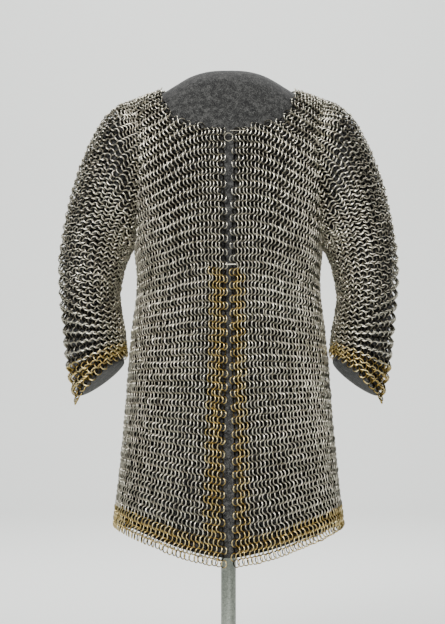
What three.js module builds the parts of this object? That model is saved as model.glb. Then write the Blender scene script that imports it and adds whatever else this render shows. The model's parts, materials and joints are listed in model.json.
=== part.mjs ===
// A chainmail hauberk, open down the front, worn by a felt-covered torso form on a steel stand.
//
// Units are millimetres, +Z up, the front faces -Y and the wearer's left is +X. The origin is the
// middle of the base plate's underside. Every mail panel is a wall on one garment surface: body(face,
// side, across, down) runs from the middle of the front or back to the side line, and from the
// shoulder ridge to the hem; sleeve(side, round, along) runs round the arm, and from the armhole to
// the cuff. The form and the sleeve pads are the same surfaces, drawn in.
import * as THREE from 'three';
import { mergeVertices } from 'three/addons/utils/BufferGeometryUtils.js';

// ---- Driving dimensions ----

const MAIL_THICKNESS = 4;          // woven mail of 1.8 mm wire, lying flat
const SEAM_GAP = 0.4;              // between neighbouring pieces
const FORM_INSET = { ridge: 5, below: 5.6 };   // from the middle of the mail to the felt
const RESTING_SHARE = 0.05;         // how far down the mail leaves the form's shoulders
const PAD_INSET = 5;
const PAD_START = 0.06;            // how far along the sleeve its pad starts
const PAD_END = { inside: 6, outside: -10 };   // how far the pad reaches past the cuff, along the arm

const ARMPIT_HEIGHT = 776;
const RIDGE_BEHIND = 5;            // the shoulder ridge lies a little behind the side line
const SHOULDER_SPREAD = 0.1;       // the body widens by this share from the armpit to the ridge
const SHOULDER_FULLNESS = 2.4;     // exponent of the curve from the chest over the shoulder

const SLIT_HALF_WIDTH = 4.5;
const NECK_POINT = 0.45;           // how far across the ridge the neck opening reaches
const NECK_DEPTH = { front: 0.18, back: 0.079 };   // how far down the middle it reaches
const NECK_SQUARENESS = 2.4;
const ARMHOLE_TOP = 0.755;         // how far across the ridge the armhole starts
const ARMHOLE_DIP = { front: 0.09, back: 0.0 };    // how much further in its middle is
const ARMHOLE_DIP_SHAPE = 1.5;
const ARMHOLE_ROUNDNESS = 2.6;

const BORDER_TOP = 736;            // where the slit's brass border starts
const BORDER_SHARE = 0.12;         // its width, of the way from the slit to the side line
const HEM_BAND_START = 0.947;
const CUFF_BAND_START = 0.93;
const FORM_END = { middle: 0.984, leftCorner: 1.006 };   // how far down the form stops, by the hem

const POLE = { radius: 11.8, bottom: 8.3, flangeRadius: 42, flangeThickness: 5 };
const BASE = { radius: 175, thickness: 8, chamfer: 2 };
const SOCKET = { bore: 12.1, radius: 20, height: 32 };
const CORNER_SHARPNESS = 4;        // of the form's fall towards its left corner
const RIDGE_FALL = 3;              // how late the form's top turns outward along the ridge
const FORM_UNDERSIDE = 322;        // the flat the flange is screwed to
const FLANGE_MARGIN = 6;
const WIRE = 0.9;                  // radius of the closing ring's and the links' wire
const CLOSING_RING = { z: 941.5, radius: 6.4 };
const NECK_LINK = { z: 951.5, from: 2.5, to: 26.5 };
const SLIT_LINK = { z: 748, from: -5.5, to: 11.5 };

// The body's level sections: half its width, how far the front and the back stand out from the
// side line, and how square each section is (2 is an ellipse).
const BODY_SECTIONS = [
  { z: 262, halfWidth: 186, front: 131, back: 126, squareness: 2.35 },
  { z: 349, halfWidth: 177, front: 126, back: 122, squareness: 2.35 },
  { z: 412, halfWidth: 169, front: 121, back: 118, squareness: 2.35 },
  { z: 474, halfWidth: 162.5, front: 116, back: 114, squareness: 2.35 },
  { z: 537, halfWidth: 157, front: 111, back: 109, squareness: 2.35 },
  { z: 587, halfWidth: 153.5, front: 107, back: 103, squareness: 2.35 },
  { z: 638, halfWidth: 148.5, front: 103, back: 96, squareness: 2.35 },
  { z: 688, halfWidth: 142, front: 101, back: 92, squareness: 2.4 },
  { z: 725, halfWidth: 139.5, front: 103, back: 95, squareness: 2.45 },
  { z: 776, halfWidth: 144, front: 109, back: 105, squareness: 2.6 },
];

// The ridge from the middle of the neck out along the shoulder.
const RIDGE = [
  { x: 0, z: 1061 },
  { x: 40, z: 1059 },
  { x: 75, z: 1044 },
  { x: 100, z: 1025 },
  { x: 136, z: 1011 },
  { x: 160, z: 1001 },
];

// The hem's height across each face, from the middle to the side line.
const HEM = {
  front: [
    { across: 0, z: 287 },
    { across: 0.27, z: 301 },
    { across: 0.46, z: 317 },
    { across: 0.6, z: 327 },
    { across: 0.77, z: 337 },
    { across: 1, z: 342 },
  ],
  back: [
    { across: 0, z: 303 },
    { across: 0.46, z: 318 },
    { across: 0.77, z: 335 },
    { across: 1, z: 342 },
  ],
};

// The sleeve's sections after the armhole: its outer and its inner point, half its depth, the middle
// of its depth, and how far its front edge is drawn up the arm.
const SLEEVE_SECTIONS = [
  { outerX: 172, outerZ: 995, innerX: 151, innerZ: 774, depth: 68, y: -6, lift: 0 },
  { outerX: 192, outerZ: 977.5, innerX: 156, innerZ: 766, depth: 65, y: -7, lift: 0 },
  { outerX: 208.5, outerZ: 950, innerX: 161, innerZ: 755, depth: 62, y: -8, lift: 0 },
  { outerX: 220.5, outerZ: 925, innerX: 165, innerZ: 743, depth: 60, y: -9, lift: 0 },
  { outerX: 231, outerZ: 898, innerX: 168, innerZ: 729, depth: 58.5, y: -10, lift: 0 },
  { outerX: 241, outerZ: 868, innerX: 171, innerZ: 714, depth: 57.5, y: -11, lift: 1 },
  { outerX: 249.5, outerZ: 834, innerX: 173, innerZ: 700, depth: 57, y: -12, lift: 1 },
  { outerX: 256.5, outerZ: 798, innerX: 172, innerZ: 687, depth: 56.5, y: -13, lift: 2 },
  { outerX: 262, outerZ: 760, innerX: 170, innerZ: 675, depth: 56, y: -14, lift: 2 },
  { outerX: 262, outerZ: 720, innerX: 168, innerZ: 663, depth: 55, y: -15, lift: 3 },
  { outerX: 259.5, outerZ: 685, innerX: 166, innerZ: 652, depth: 54, y: -16, lift: 4 },
  { outerX: 256, outerZ: 650, innerX: 164, innerZ: 641, depth: 53, y: -17, lift: 5 },
  { outerX: 252.5, outerZ: 612, innerX: 163, innerZ: 630, depth: 52, y: -18, lift: 6 },
  { outerX: 247, outerZ: 575, innerX: 162, innerZ: 619, depth: 51, y: -19, lift: 7 },
  { outerX: 235, outerZ: 531, innerX: 161, innerZ: 608, depth: 50, y: -20, lift: 10 },
];

// Where the walls' rows of facets lie between the ridge and the armpit, and how many there are elsewhere.
const CHEST_ROWS = [0, 0.035, 0.06, 0.073, 0.079, 0.11, 0.145, 0.168, 0.18, 0.215, 0.25, 0.29, 0.325];
const ACROSS_STEPS = 8;            // from the middle of a face to the side line
const SKIRT_STEPS = 8;
const ALONG_STEPS = 11;
const COLUMN_SAMPLES = 60;
const QUARTER_SAMPLES = 48;
const ROUND_SEGMENTS = { pole: 32, base: 64, ring: 24, wire: 8 };

const TYPICAL = { down: 760, across: 212, along: 350 };   // lengths that turn gaps into shares
const SLOPE_STEP = 0.004;          // share between the points that a slope is measured from
const SEAM_SLOPE_AT = 0.03;        // how far along the sleeve its slope at the seam is measured
const MITRE_LIMIT = 1.3;           // of a wall's offset where two pieces meet at an angle

// ---- Curves ----

/** Smooth value of a table's column at a key, by Catmull-Rom on uneven keys. */
function follow(table, key, at, column) {
  const last = table.length - 1;
  if (at <= table[0][key]) return table[0][column];
  if (at >= table[last][key]) return table[last][column];
  const i = table.findIndex((row, k) => k < last && at <= table[k + 1][key]);
  const [k0, k1] = [table[i][key], table[i + 1][key]];
  const [v0, v1] = [table[i][column], table[i + 1][column]];
  const slope = (a, b) => (table[b][column] - table[a][column]) / (table[b][key] - table[a][key]);
  const m0 = i > 0 ? slope(i - 1, i + 1) : slope(0, 1);
  const m1 = i + 1 < last ? slope(i, i + 2) : slope(last - 1, last);
  const h = k1 - k0;
  const s = (at - k0) / h;
  const [s2, s3] = [s * s, s * s * s];
  return (2 * s3 - 3 * s2 + 1) * v0 + (s3 - 2 * s2 + s) * h * m0
    + (3 * s2 - 2 * s3) * v1 + (s3 - s2) * h * m1;
}

/** The point at a share of a polyline's length. */
function alongLine(points, share) {
  const lengths = [0];
  for (let i = 1; i < points.length; i++) {
    lengths.push(lengths[i - 1] + points[i].distanceTo(points[i - 1]));
  }
  const goal = Math.max(share, 0) * lengths[points.length - 1];
  let i = 1;
  while (i < points.length - 1 && lengths[i] < goal) i++;
  const step = lengths[i] - lengths[i - 1] || 1;
  return points[i - 1].clone().lerp(points[i], (goal - lengths[i - 1]) / step);
}

/** The point a share of the way round a level quarter section, from the face's middle to the side. */
function quarterPoint(z, face, across) {
  const halfWidth = follow(BODY_SECTIONS, 'z', z, 'halfWidth');
  const reach = follow(BODY_SECTIONS, 'z', z, face);
  const power = 2 / follow(BODY_SECTIONS, 'z', z, 'squareness');
  const outward = face === 'front' ? -1 : 1;
  const points = [];
  for (let i = 0; i <= QUARTER_SAMPLES; i++) {
    const angle = (i / QUARTER_SAMPLES) * Math.PI / 2;
    const x = halfWidth * Math.sin(angle) ** power;
    const y = outward * reach * Math.max(Math.cos(angle), 0) ** power;
    points.push(new THREE.Vector3(x, y, z));
  }
  return alongLine(points, across);
}

// ---- The garment's surface ----

const columns = new Map();

/** One line down the body, from the ridge to the hem, on the +X side. */
function column(face, across) {
  const name = face + across.toFixed(6);
  if (columns.has(name)) return columns.get(name);
  const chest = quarterPoint(ARMPIT_HEIGHT, face, across);
  const top = follow(RIDGE, 'x', chest.x * (1 + SHOULDER_SPREAD), 'z');
  const power = 2 / SHOULDER_FULLNESS;
  const points = [];
  for (let i = 0; i < COLUMN_SAMPLES / 2; i++) {
    const angle = (1 - i / (COLUMN_SAMPLES / 2)) * Math.PI / 2;
    const rise = Math.sin(angle) ** power;
    const set = Math.max(Math.cos(angle), 0) ** power;
    points.push(new THREE.Vector3(
      chest.x * (1 + SHOULDER_SPREAD * rise),
      RIDGE_BEHIND + (chest.y - RIDGE_BEHIND) * set,
      ARMPIT_HEIGHT + (top - ARMPIT_HEIGHT) * rise,
    ));
  }
  const hem = follow(HEM[face], 'across', across, 'z');
  for (let i = 0; i <= COLUMN_SAMPLES; i++) {
    const z = ARMPIT_HEIGHT + (hem - ARMPIT_HEIGHT) * (i / COLUMN_SAMPLES);
    points.push(quarterPoint(z, face, across));
  }
  columns.set(name, points);
  return points;
}

/** A point of the body's surface. side is 1 for the wearer's left and -1 for the right. */
function body(face, side, across, down) {
  const point = alongLine(column(face, across), down);
  point.x *= side;
  return point;
}

/** The share of a column's length that lies above a height below the shoulder. */
function shareAbove(face, across, z) {
  const points = column(face, across);
  let [above, whole] = [0, 0];
  for (let i = 1; i < points.length; i++) {
    const step = points[i].distanceTo(points[i - 1]);
    const share = (points[i - 1].z - z) / (points[i - 1].z - points[i].z);
    above += step * Math.min(Math.max(share, 0), 1);
    whole += step;
  }
  return above / whole;
}

const ARMHOLE_BOTTOM = shareAbove('front', 1, ARMPIT_HEIGHT);
const BORDER_START = shareAbove('front', 0, BORDER_TOP);

/** The armhole's edge: how far across it is at a height. */
function armholeEdge(face, down) {
  const t = Math.min(down / ARMHOLE_BOTTOM, 1);
  const turn = 1 - (1 - t ** ARMHOLE_ROUNDNESS) ** (1 / ARMHOLE_ROUNDNESS);
  const dip = ARMHOLE_DIP[face] * Math.sin(Math.PI * t) ** ARMHOLE_DIP_SHAPE;
  return ARMHOLE_TOP + (1 - ARMHOLE_TOP) * turn - dip;
}

/** The neck opening's edge: how far across it is at a height, 0 below the opening. */
function neckEdge(face, down) {
  const t = Math.min(down / NECK_DEPTH[face], 1);
  return NECK_POINT * (1 - t ** NECK_SQUARENESS) ** (1 / NECK_SQUARENESS);
}

const ARMHOLE_DOWNS = [...CHEST_ROWS, ARMHOLE_BOTTOM];
const ARMHOLE_STEPS = ARMHOLE_DOWNS.length - 1;

/** How far down the armhole is at a share of the way from the ridge to the armpit. */
function armholeDown(share) {
  const at = Math.min(share, 1) * ARMHOLE_STEPS;
  const i = Math.min(Math.floor(at), ARMHOLE_STEPS - 1);
  return ARMHOLE_DOWNS[i] + (ARMHOLE_DOWNS[i + 1] - ARMHOLE_DOWNS[i]) * (at - i);
}

/** A point of one sleeve section. round is 0 at the outer line, 0.25 in front, 0.5 inside. */
function sectionPoint(index, round) {
  if (index === 0) {
    const face = round <= 0.5 ? 'front' : 'back';
    const down = armholeDown(round <= 0.5 ? round * 2 : (1 - round) * 2);
    return body(face, 1, armholeEdge(face, down), down);
  }
  const s = SLEEVE_SECTIONS[index - 1];
  const angle = round * Math.PI * 2;
  const outer = new THREE.Vector3(s.outerX, s.y, s.outerZ);
  const inner = new THREE.Vector3(s.innerX, s.y, s.innerZ);
  const centre = outer.clone().lerp(inner, 0.5);
  const outward = outer.clone().sub(inner).multiplyScalar(0.5);
  const upArm = new THREE.Vector3(-outward.z, 0, outward.x).normalize();
  const forward = new THREE.Vector3(0, -s.depth, 0).addScaledVector(upArm, s.lift);
  return centre.addScaledVector(outward, Math.cos(angle)).addScaledVector(forward, Math.sin(angle));
}

/** A point of a sleeve's surface. along is 0 at the armhole and 1 at the cuff. */
function sleeve(side, round, along) {
  const last = SLEEVE_SECTIONS.length;
  const wrapped = ((round % 1) + 1) % 1;
  const at = Math.min(Math.max(along, 0), 1) * last;
  const i = Math.min(Math.floor(at), last - 1);
  const p = [i - 1, i, i + 1, i + 2].map((k) => sectionPoint(Math.min(Math.max(k, 0), last), wrapped));
  const s = at - i;
  const spline = (a, b, c, d) => 0.5 * (2 * b + (c - a) * s + (2 * a - 5 * b + 4 * c - d) * s * s
    + (3 * b - a - 3 * c + d) * s * s * s);
  return new THREE.Vector3(
    side * spline(p[0].x, p[1].x, p[2].x, p[3].x),
    spline(p[0].y, p[1].y, p[2].y, p[3].y),
    spline(p[0].z, p[1].z, p[2].z, p[3].z),
  );
}

/** The outward normal of the body's surface. */
function bodyNormal(face, side, across, down) {
  const e = SLOPE_STEP;
  const d = Math.max(down, e);
  const over = body(face, side, Math.min(across + e, 1), d).sub(body(face, side, Math.max(across - e, 0), d));
  const along = body(face, side, across, d + e).sub(body(face, side, across, d - e));
  const n = over.cross(along).normalize();
  if (across === 0) n.setX(0).normalize();
  return n.y * (face === 'front' ? -1 : 1) < 0 ? n.negate() : n;
}

/** The outward normal of a sleeve's surface. */
function sleeveNormal(side, round, along) {
  const e = SLOPE_STEP;
  const around = sleeve(side, round + e, along).sub(sleeve(side, round - e, along));
  const down = sleeve(side, round, Math.min(along + e, 1)).sub(sleeve(side, round, Math.max(along - e, 0)));
  const n = around.cross(down).normalize();
  return n.dot(sleeve(side, round, along).sub(sleeveCentre(side, round, along))) < 0 ? n.negate() : n;
}

const sleeveCentre = (side, round, along) => (
  sleeve(side, round, along).lerp(sleeve(side, round + 0.5, along), 0.5));

// ---- Walls and closed forms ----

/** A closed wall from a grid of { point, normal }, for the cells that keep(i, j) allows. */
function wall(grid, thickness, keep = () => true, wraps = false) {
  const rows = grid.length;
  const wide = grid[0].length;
  const positions = [];
  for (const offset of [thickness / 2, -thickness / 2]) {
    for (const row of grid) {
      for (const { point, normal } of row) {
        const p = point.clone().addScaledVector(normal, offset);
        positions.push(p.x, p.y, p.z);
      }
    }
  }
  const outer = (i, j) => i * wide + (j % wide);
  const inner = (i, j) => rows * wide + outer(i, j);
  const cellsWide = wraps ? wide : wide - 1;
  const kept = (i, j) => {
    if (i < 0 || i >= rows - 1) return false;
    if (!wraps && (j < 0 || j >= cellsWide)) return false;
    return keep(i, (j + cellsWide) % cellsWide);
  };
  const index = [];
  const quad = (a, b, c, d) => index.push(a, b, c, a, c, d);
  for (let i = 0; i < rows - 1; i++) {
    for (let j = 0; j < cellsWide; j++) {
      if (!kept(i, j)) continue;
      const corners = [[i, j], [i + 1, j], [i + 1, j + 1], [i, j + 1]];
      quad(...corners.map(([r, c]) => outer(r, c)));
      quad(...corners.map(([r, c]) => inner(r, c)).reverse());
      const neighbours = [[i, j - 1], [i + 1, j], [i, j + 1], [i - 1, j]];
      neighbours.forEach(([r, c], edge) => {
        if (kept(r, c)) return;
        const [a, b] = [corners[edge], corners[(edge + 1) % 4]];
        quad(outer(...b), outer(...a), inner(...a), inner(...b));
      });
    }
  }
  return closedGeometry(positions, index);
}

/** A geometry from positions and faces, turned so that its faces point out. */
function closedGeometry(positions, index) {
  let geometry = new THREE.BufferGeometry();
  geometry.setAttribute('position', new THREE.Float32BufferAttribute(positions, 3));
  geometry.setIndex(index);
  geometry = mergeVertices(geometry, 1e-4);
  const p = geometry.attributes.position;
  const faces = geometry.index.array;
  let volume = 0;
  const [a, b, c] = [new THREE.Vector3(), new THREE.Vector3(), new THREE.Vector3()];
  const sound = [];
  for (let i = 0; i < faces.length; i += 3) {
    const [x, y, z] = [faces[i], faces[i + 1], faces[i + 2]];
    if (x === y || y === z || z === x) continue;
    sound.push(x, y, z);
    a.fromBufferAttribute(p, x);
    b.fromBufferAttribute(p, y);
    c.fromBufferAttribute(p, z);
    volume += a.dot(b.cross(c)) / 6;
  }
  if (volume < 0) {
    for (let i = 0; i < sound.length; i += 3) [sound[i + 1], sound[i + 2]] = [sound[i + 2], sound[i + 1]];
  }
  geometry.setIndex(sound);
  geometry.computeVertexNormals();
  return geometry;
}

const steps = (from, to, count) => (
  Array.from({ length: count + 1 }, (_, i) => from + (to - from) * (i / count)));

// ---- Mail panels ----

const ridgeGap = SEAM_GAP / 2 / TYPICAL.down;
const acrossGap = SEAM_GAP / 2 / TYPICAL.across;
const sleeveGap = SEAM_GAP / TYPICAL.along;

const skirtDowns = steps(BORDER_START, HEM_BAND_START, SKIRT_STEPS);
skirtDowns[SKIRT_STEPS] -= ridgeGap;
const panelDowns = [ridgeGap, ...ARMHOLE_DOWNS.slice(1), BORDER_START - ridgeGap, ...skirtDowns.slice(1)];
const borderRow = panelDowns.indexOf(BORDER_START - ridgeGap);
const hemDowns = [HEM_BAND_START + ridgeGap, (HEM_BAND_START + 1) / 2, 1];
const sleeveAlongs = steps(sleeveGap, CUFF_BAND_START - sleeveGap, ALONG_STEPS - 1);

/** Where a panel starts and ends across, at a height. */
function panelEdges(face, down) {
  const halfSlit = face === 'front' ? SLIT_HALF_WIDTH / TYPICAL.across : 0;
  const end = down < ARMHOLE_BOTTOM ? armholeEdge(face, down) - acrossGap : 1 - acrossGap;
  return [Math.max(halfSlit, neckEdge(face, down)), end];
}

/** The direction in which a panel's wall and the sleeve's wall meet at the armhole. */
function seamNormal(face, side, down, round) {
  const across = armholeEdge(face, down);
  const sum = bodyNormal(face, side, across, down).add(sleeveNormal(side, round, SEAM_SLOPE_AT));
  return sum.multiplyScalar(Math.min(2 / sum.lengthSq(), MITRE_LIMIT));
}

/** A grid of one face's surface: share 0 is the panel's inner edge and 1 its outer edge. */
function panelGrid(face, side, shares, downs) {
  return downs.map((down, i) => {
    const [start, end] = panelEdges(face, down);
    const halfRound = i / ARMHOLE_STEPS / 2;
    return shares.map((share) => {
      const across = start + (end - start) * share;
      const point = body(face, side, across, down);
      if (share < 1) return { point, normal: bodyNormal(face, side, across, down) };
      if (down >= ARMHOLE_BOTTOM) return { point, normal: new THREE.Vector3(side, 0, 0) };
      return { point, normal: seamNormal(face, side, down, face === 'front' ? halfRound : 1 - halfRound) };
    });
  });
}

/** A grid of a sleeve's surface. */
function sleeveGrid(side, alongs) {
  const rounds = steps(0, 1, 2 * ARMHOLE_STEPS).slice(0, -1);
  return alongs.map((along) => rounds.map((round) => {
    const point = sleeve(side, round, along);
    if (along > sleeveGap) return { point, normal: sleeveNormal(side, round, along) };
    const face = round <= 0.5 ? 'front' : 'back';
    const down = armholeDown(round <= 0.5 ? round * 2 : (1 - round) * 2);
    if (down >= ARMHOLE_BOTTOM) return { point, normal: new THREE.Vector3(side, 0, 0) };
    return { point, normal: seamNormal(face, side, down, round) };
  }));
}

// ---- The form and the pads ----

/** A closed solid from rows of points round it. Its end is closed by a point, and its start by a point
 * or, with none, by its first row meeting itself along a line. */
function closedTube(rows, endCap, startCap = null) {
  const wide = rows[0].length;
  const caps = startCap ? [endCap, startCap] : [endCap];
  const positions = [...rows.flat(), ...caps].flatMap((p) => [p.x, p.y, p.z]);
  const end = rows.length * wide;
  const index = [];
  for (let j = 0; j < wide; j++) {
    const k = (j + 1) % wide;
    for (let i = 0; i < rows.length - 1; i++) {
      const [a, b] = [i * wide + j, i * wide + k];
      index.push(a, a + wide, b + wide, a, b + wide, b);
    }
    index.push(end, end - wide + k, end - wide + j);
    if (startCap) index.push(end + 1, j, k);
  }
  return closedGeometry(positions, index);
}

/** One row of the torso form, at a height that may fall sharply near the left corner. */
function formRow(down, cornerDrop = 0) {
  const row = [];
  const resting = Math.max(1 - down / RESTING_SHARE, 0);
  const inset = FORM_INSET.below + (FORM_INSET.ridge - FORM_INSET.below) * resting;
  const shares = steps(0, 1, ACROSS_STEPS);
  const quarters = [['front', -1, true], ['front', 1, false], ['back', 1, true], ['back', -1, false]];
  for (const [face, side, inward] of quarters) {
    const ordered = inward ? [...shares].reverse() : shares;
    for (const across of ordered.slice(0, -1)) {
      const at = down + (side > 0 ? cornerDrop * across ** CORNER_SHARPNESS : 0);
      let normal = bodyNormal(face, side, across, at);
      if (across === 1) normal = new THREE.Vector3(side, 0, 0);
      const point = body(face, side, across, at);
      if (down === 0) {
        point.add(body(face === 'front' ? 'back' : 'front', side, across, 0)).multiplyScalar(0.5);
        normal = new THREE.Vector3(side * across ** RIDGE_FALL, 0, 1);
      }
      row.push(point.addScaledVector(normal, -inset));
    }
  }
  return row;
}

function torsoForm() {
  const rows = [...panelDowns.slice(1, -1)].map((down) => formRow(down));
  rows.unshift(formRow(0));
  rows.push(formRow(FORM_END.middle, FORM_END.leftCorner - FORM_END.middle));
  rows.push(rows[rows.length - 1].map((edge) => {
    const reach = (POLE.flangeRadius + FLANGE_MARGIN) / Math.hypot(edge.x, edge.y);
    return new THREE.Vector3(edge.x * reach, edge.y * reach, FORM_UNDERSIDE);
  }));
  return closedTube(rows, new THREE.Vector3(0, 0, FORM_UNDERSIDE));
}

/** A sleeve's pad: the sleeve drawn in, with flat ends. Its lower end slants past the cuff. */
function sleevePad(side) {
  const rounds = steps(0, 1, 2 * ARMHOLE_STEPS).slice(0, -1);
  const alongs = [...sleeveAlongs.filter((along) => along > PAD_START), CUFF_BAND_START, 1];
  const endCentre = sleeveCentre(side, 0, 1);
  const downArm = endCentre.clone().sub(sleeveCentre(side, 0, CUFF_BAND_START)).normalize();
  const middleReach = (PAD_END.outside + PAD_END.inside) / 2;
  const rows = alongs.map((along) => rounds.map((round) => {
    const p = sleeve(side, round, along);
    const out = p.clone().sub(sleeveCentre(side, round, along)).normalize();
    if (along === 1) {
      const slant = (PAD_END.outside - middleReach) * Math.cos(round * Math.PI * 2);
      p.addScaledVector(downArm, middleReach + slant);
    }
    return p.addScaledVector(out, -PAD_INSET);
  }));
  return closedTube(rows, endCentre.addScaledVector(downArm, middleReach), sleeveCentre(side, 0, alongs[0]));
}

/** A round solid turned about the upright axis from a closed profile of [radius, height]. */
function turned(profile, segments = ROUND_SEGMENTS.pole) {
  const positions = [];
  const index = [];
  profile.forEach(([radius, z]) => {
    for (let j = 0; j < segments; j++) {
      const angle = (j / segments) * Math.PI * 2;
      positions.push(radius * Math.cos(angle), radius * Math.sin(angle), z);
    }
  });
  profile.forEach((_, i) => {
    const n = (i + 1) % profile.length;
    for (let j = 0; j < segments; j++) {
      const k = (j + 1) % segments;
      const [a, b, c, d] = [i * segments + j, i * segments + k, n * segments + k, n * segments + j];
      index.push(a, b, c, a, c, d);
    }
  });
  return closedGeometry(positions, index);
}

// ---- The pieces ----

const group = new THREE.Group();

function add(name, geometry, { colour, roughness, metalness }) {
  const material = new THREE.MeshStandardMaterial({ color: colour, roughness, metalness });
  const mesh = new THREE.Mesh(geometry, material);
  mesh.name = name;
  group.add(mesh);
}

const IRON = { colour: 0x8f8a7e, roughness: 0.5, metalness: 0.9 };
const BRASS = { colour: 0xb08d4a, roughness: 0.45, metalness: 0.9 };
const FELT = { colour: 0x555555, roughness: 0.95, metalness: 0 };
const STEEL = { colour: 0x9b9d93, roughness: 0.5, metalness: 0.85 };
const sideName = (side) => (side > 0 ? 'left' : 'right');

for (const side of [-1, 1]) {
  // A front runs from the ridge to the hem band, less the brass border beside the slit.
  const shares = [0, ...steps(BORDER_SHARE + acrossGap, 1, ACROSS_STEPS - 1)];
  const keep = (i, j) => i < borderRow || j > 0;
  const front = panelGrid('front', side, shares, panelDowns);
  add(`front_${sideName(side)}`, wall(front, MAIL_THICKNESS, keep), IRON);

  const borderDowns = [BORDER_START + ridgeGap, ...skirtDowns.slice(1)];
  const border = panelGrid('front', side, [0, BORDER_SHARE - acrossGap], borderDowns);
  add(`slit_border_${sideName(side)}`, wall(border, MAIL_THICKNESS), BRASS);
  add(`hem_front_${sideName(side)}`, wall(panelGrid('front', side, shares, hemDowns), MAIL_THICKNESS), BRASS);

  const arm = sleeveGrid(side, sleeveAlongs);
  add(`sleeve_${sideName(side)}`, wall(arm, MAIL_THICKNESS, undefined, true), IRON);
  const cuff = [CUFF_BAND_START + sleeveGap, 1];
  add(`cuff_${sideName(side)}`, wall(sleeveGrid(side, cuff), MAIL_THICKNESS, undefined, true), BRASS);
  add(`sleeve_pad_${sideName(side)}`, sleevePad(side), FELT);
}

/** The back's grid, from the wearer's right side line to the left. */
function backGrid(downs) {
  const shares = steps(0, 1, ACROSS_STEPS);
  const left = panelGrid('back', 1, shares, downs);
  const right = panelGrid('back', -1, shares, downs);
  return downs.map((_, i) => [...right[i].slice().reverse(), ...left[i]]);
}

const neckRow = panelDowns.indexOf(NECK_DEPTH.back);
const belowNeck = (i, j) => j !== ACROSS_STEPS || i >= neckRow;
add('back', wall(backGrid(panelDowns), MAIL_THICKNESS, belowNeck), IRON);
add('hem_back', wall(backGrid(hemDowns), MAIL_THICKNESS), BRASS);

/** Lays a wire's geometry on the fronts at a height, its own z axis along their normal. */
function laid(geometry, x, z) {
  const down = shareAbove('front', 0, z);
  const normal = bodyNormal('front', 1, 0, down);
  const turn = new THREE.Quaternion().setFromUnitVectors(new THREE.Vector3(0, 0, 1), normal);
  const place = body('front', 1, 0, down).addScaledVector(normal, MAIL_THICKNESS / 2 + WIRE + SEAM_GAP);
  return geometry.applyQuaternion(turn).translate(x, place.y, place.z);
}

const wireLink = ({ from, to }) => (
  new THREE.CylinderGeometry(WIRE, WIRE, to - from, ROUND_SEGMENTS.wire).rotateZ(Math.PI / 2));
const middle = ({ from, to }) => (from + to) / 2;
const ring = new THREE.TorusGeometry(CLOSING_RING.radius, WIRE, ROUND_SEGMENTS.wire, ROUND_SEGMENTS.ring);
add('closing_ring', laid(ring, 0, CLOSING_RING.z), IRON);
add('neck_link', laid(wireLink(NECK_LINK), middle(NECK_LINK), NECK_LINK.z), IRON);
add('slit_link', laid(wireLink(SLIT_LINK), middle(SLIT_LINK), SLIT_LINK.z), IRON);

add('torso_form', torsoForm(), FELT);
const flangeTop = FORM_UNDERSIDE - SEAM_GAP;
const flangeBottom = flangeTop - POLE.flangeThickness;
const poleTop = flangeBottom - SEAM_GAP;
add('pole', turned([
  [0, POLE.bottom], [POLE.radius, POLE.bottom], [POLE.radius, poleTop], [0, poleTop],
]), STEEL);
add('form_flange', turned([
  [0, flangeBottom], [POLE.flangeRadius, flangeBottom], [POLE.flangeRadius, flangeTop], [0, flangeTop],
]), STEEL);
add('pole_socket', turned([
  [SOCKET.bore, BASE.thickness + SEAM_GAP], [SOCKET.radius, BASE.thickness + SEAM_GAP],
  [SOCKET.radius, SOCKET.height], [SOCKET.bore, SOCKET.height],
]), STEEL);
add('base_plate', turned([
  [0, 0], [BASE.radius, 0], [BASE.radius, BASE.thickness - BASE.chamfer],
  [BASE.radius - BASE.chamfer, BASE.thickness], [0, BASE.thickness],
], ROUND_SEGMENTS.base), STEEL);

export default group;
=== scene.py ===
# %% [markdown]
# # A mail hauberk on a felt-covered form
# The shirt is made of some fourteen thousand linked iron and brass rings. It hangs on a torso form
# covered in dark grey felt, on a steel pole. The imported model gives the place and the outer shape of
# every piece as a plain wall. This lesson hangs real rings on that shape, one lattice for the whole
# garment, then adds the felt, the steel, the light and the camera.

# %% Load the frame
import json
import math

import bmesh
import bpy
import numpy as np
from mathutils import Matrix, Vector

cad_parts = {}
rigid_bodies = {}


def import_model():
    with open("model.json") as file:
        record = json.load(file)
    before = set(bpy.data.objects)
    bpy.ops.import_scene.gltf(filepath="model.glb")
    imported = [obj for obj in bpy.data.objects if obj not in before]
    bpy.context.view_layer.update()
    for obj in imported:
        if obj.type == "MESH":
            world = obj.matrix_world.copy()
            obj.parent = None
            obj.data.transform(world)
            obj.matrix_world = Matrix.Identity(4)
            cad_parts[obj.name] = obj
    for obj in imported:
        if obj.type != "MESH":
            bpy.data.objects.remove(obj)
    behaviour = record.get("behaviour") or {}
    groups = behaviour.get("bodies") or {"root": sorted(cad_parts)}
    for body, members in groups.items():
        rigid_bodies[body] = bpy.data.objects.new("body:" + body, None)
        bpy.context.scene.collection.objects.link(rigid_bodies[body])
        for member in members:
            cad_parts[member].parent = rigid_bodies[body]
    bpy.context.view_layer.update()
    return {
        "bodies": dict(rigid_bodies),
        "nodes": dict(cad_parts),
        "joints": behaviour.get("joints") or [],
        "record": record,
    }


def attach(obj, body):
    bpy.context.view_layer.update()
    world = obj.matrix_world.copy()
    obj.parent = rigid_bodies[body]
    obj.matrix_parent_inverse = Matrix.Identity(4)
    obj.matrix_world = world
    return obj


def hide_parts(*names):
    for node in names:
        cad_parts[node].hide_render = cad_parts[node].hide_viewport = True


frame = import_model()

MM = 0.001
scene = bpy.context.scene

# %% [markdown]
# ## The camera
# The camera comes first, because it decides how fine each detail has to be. A long lens far away keeps
# the shirt's proportions true. It looks level, at the height of the elbows.

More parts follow.
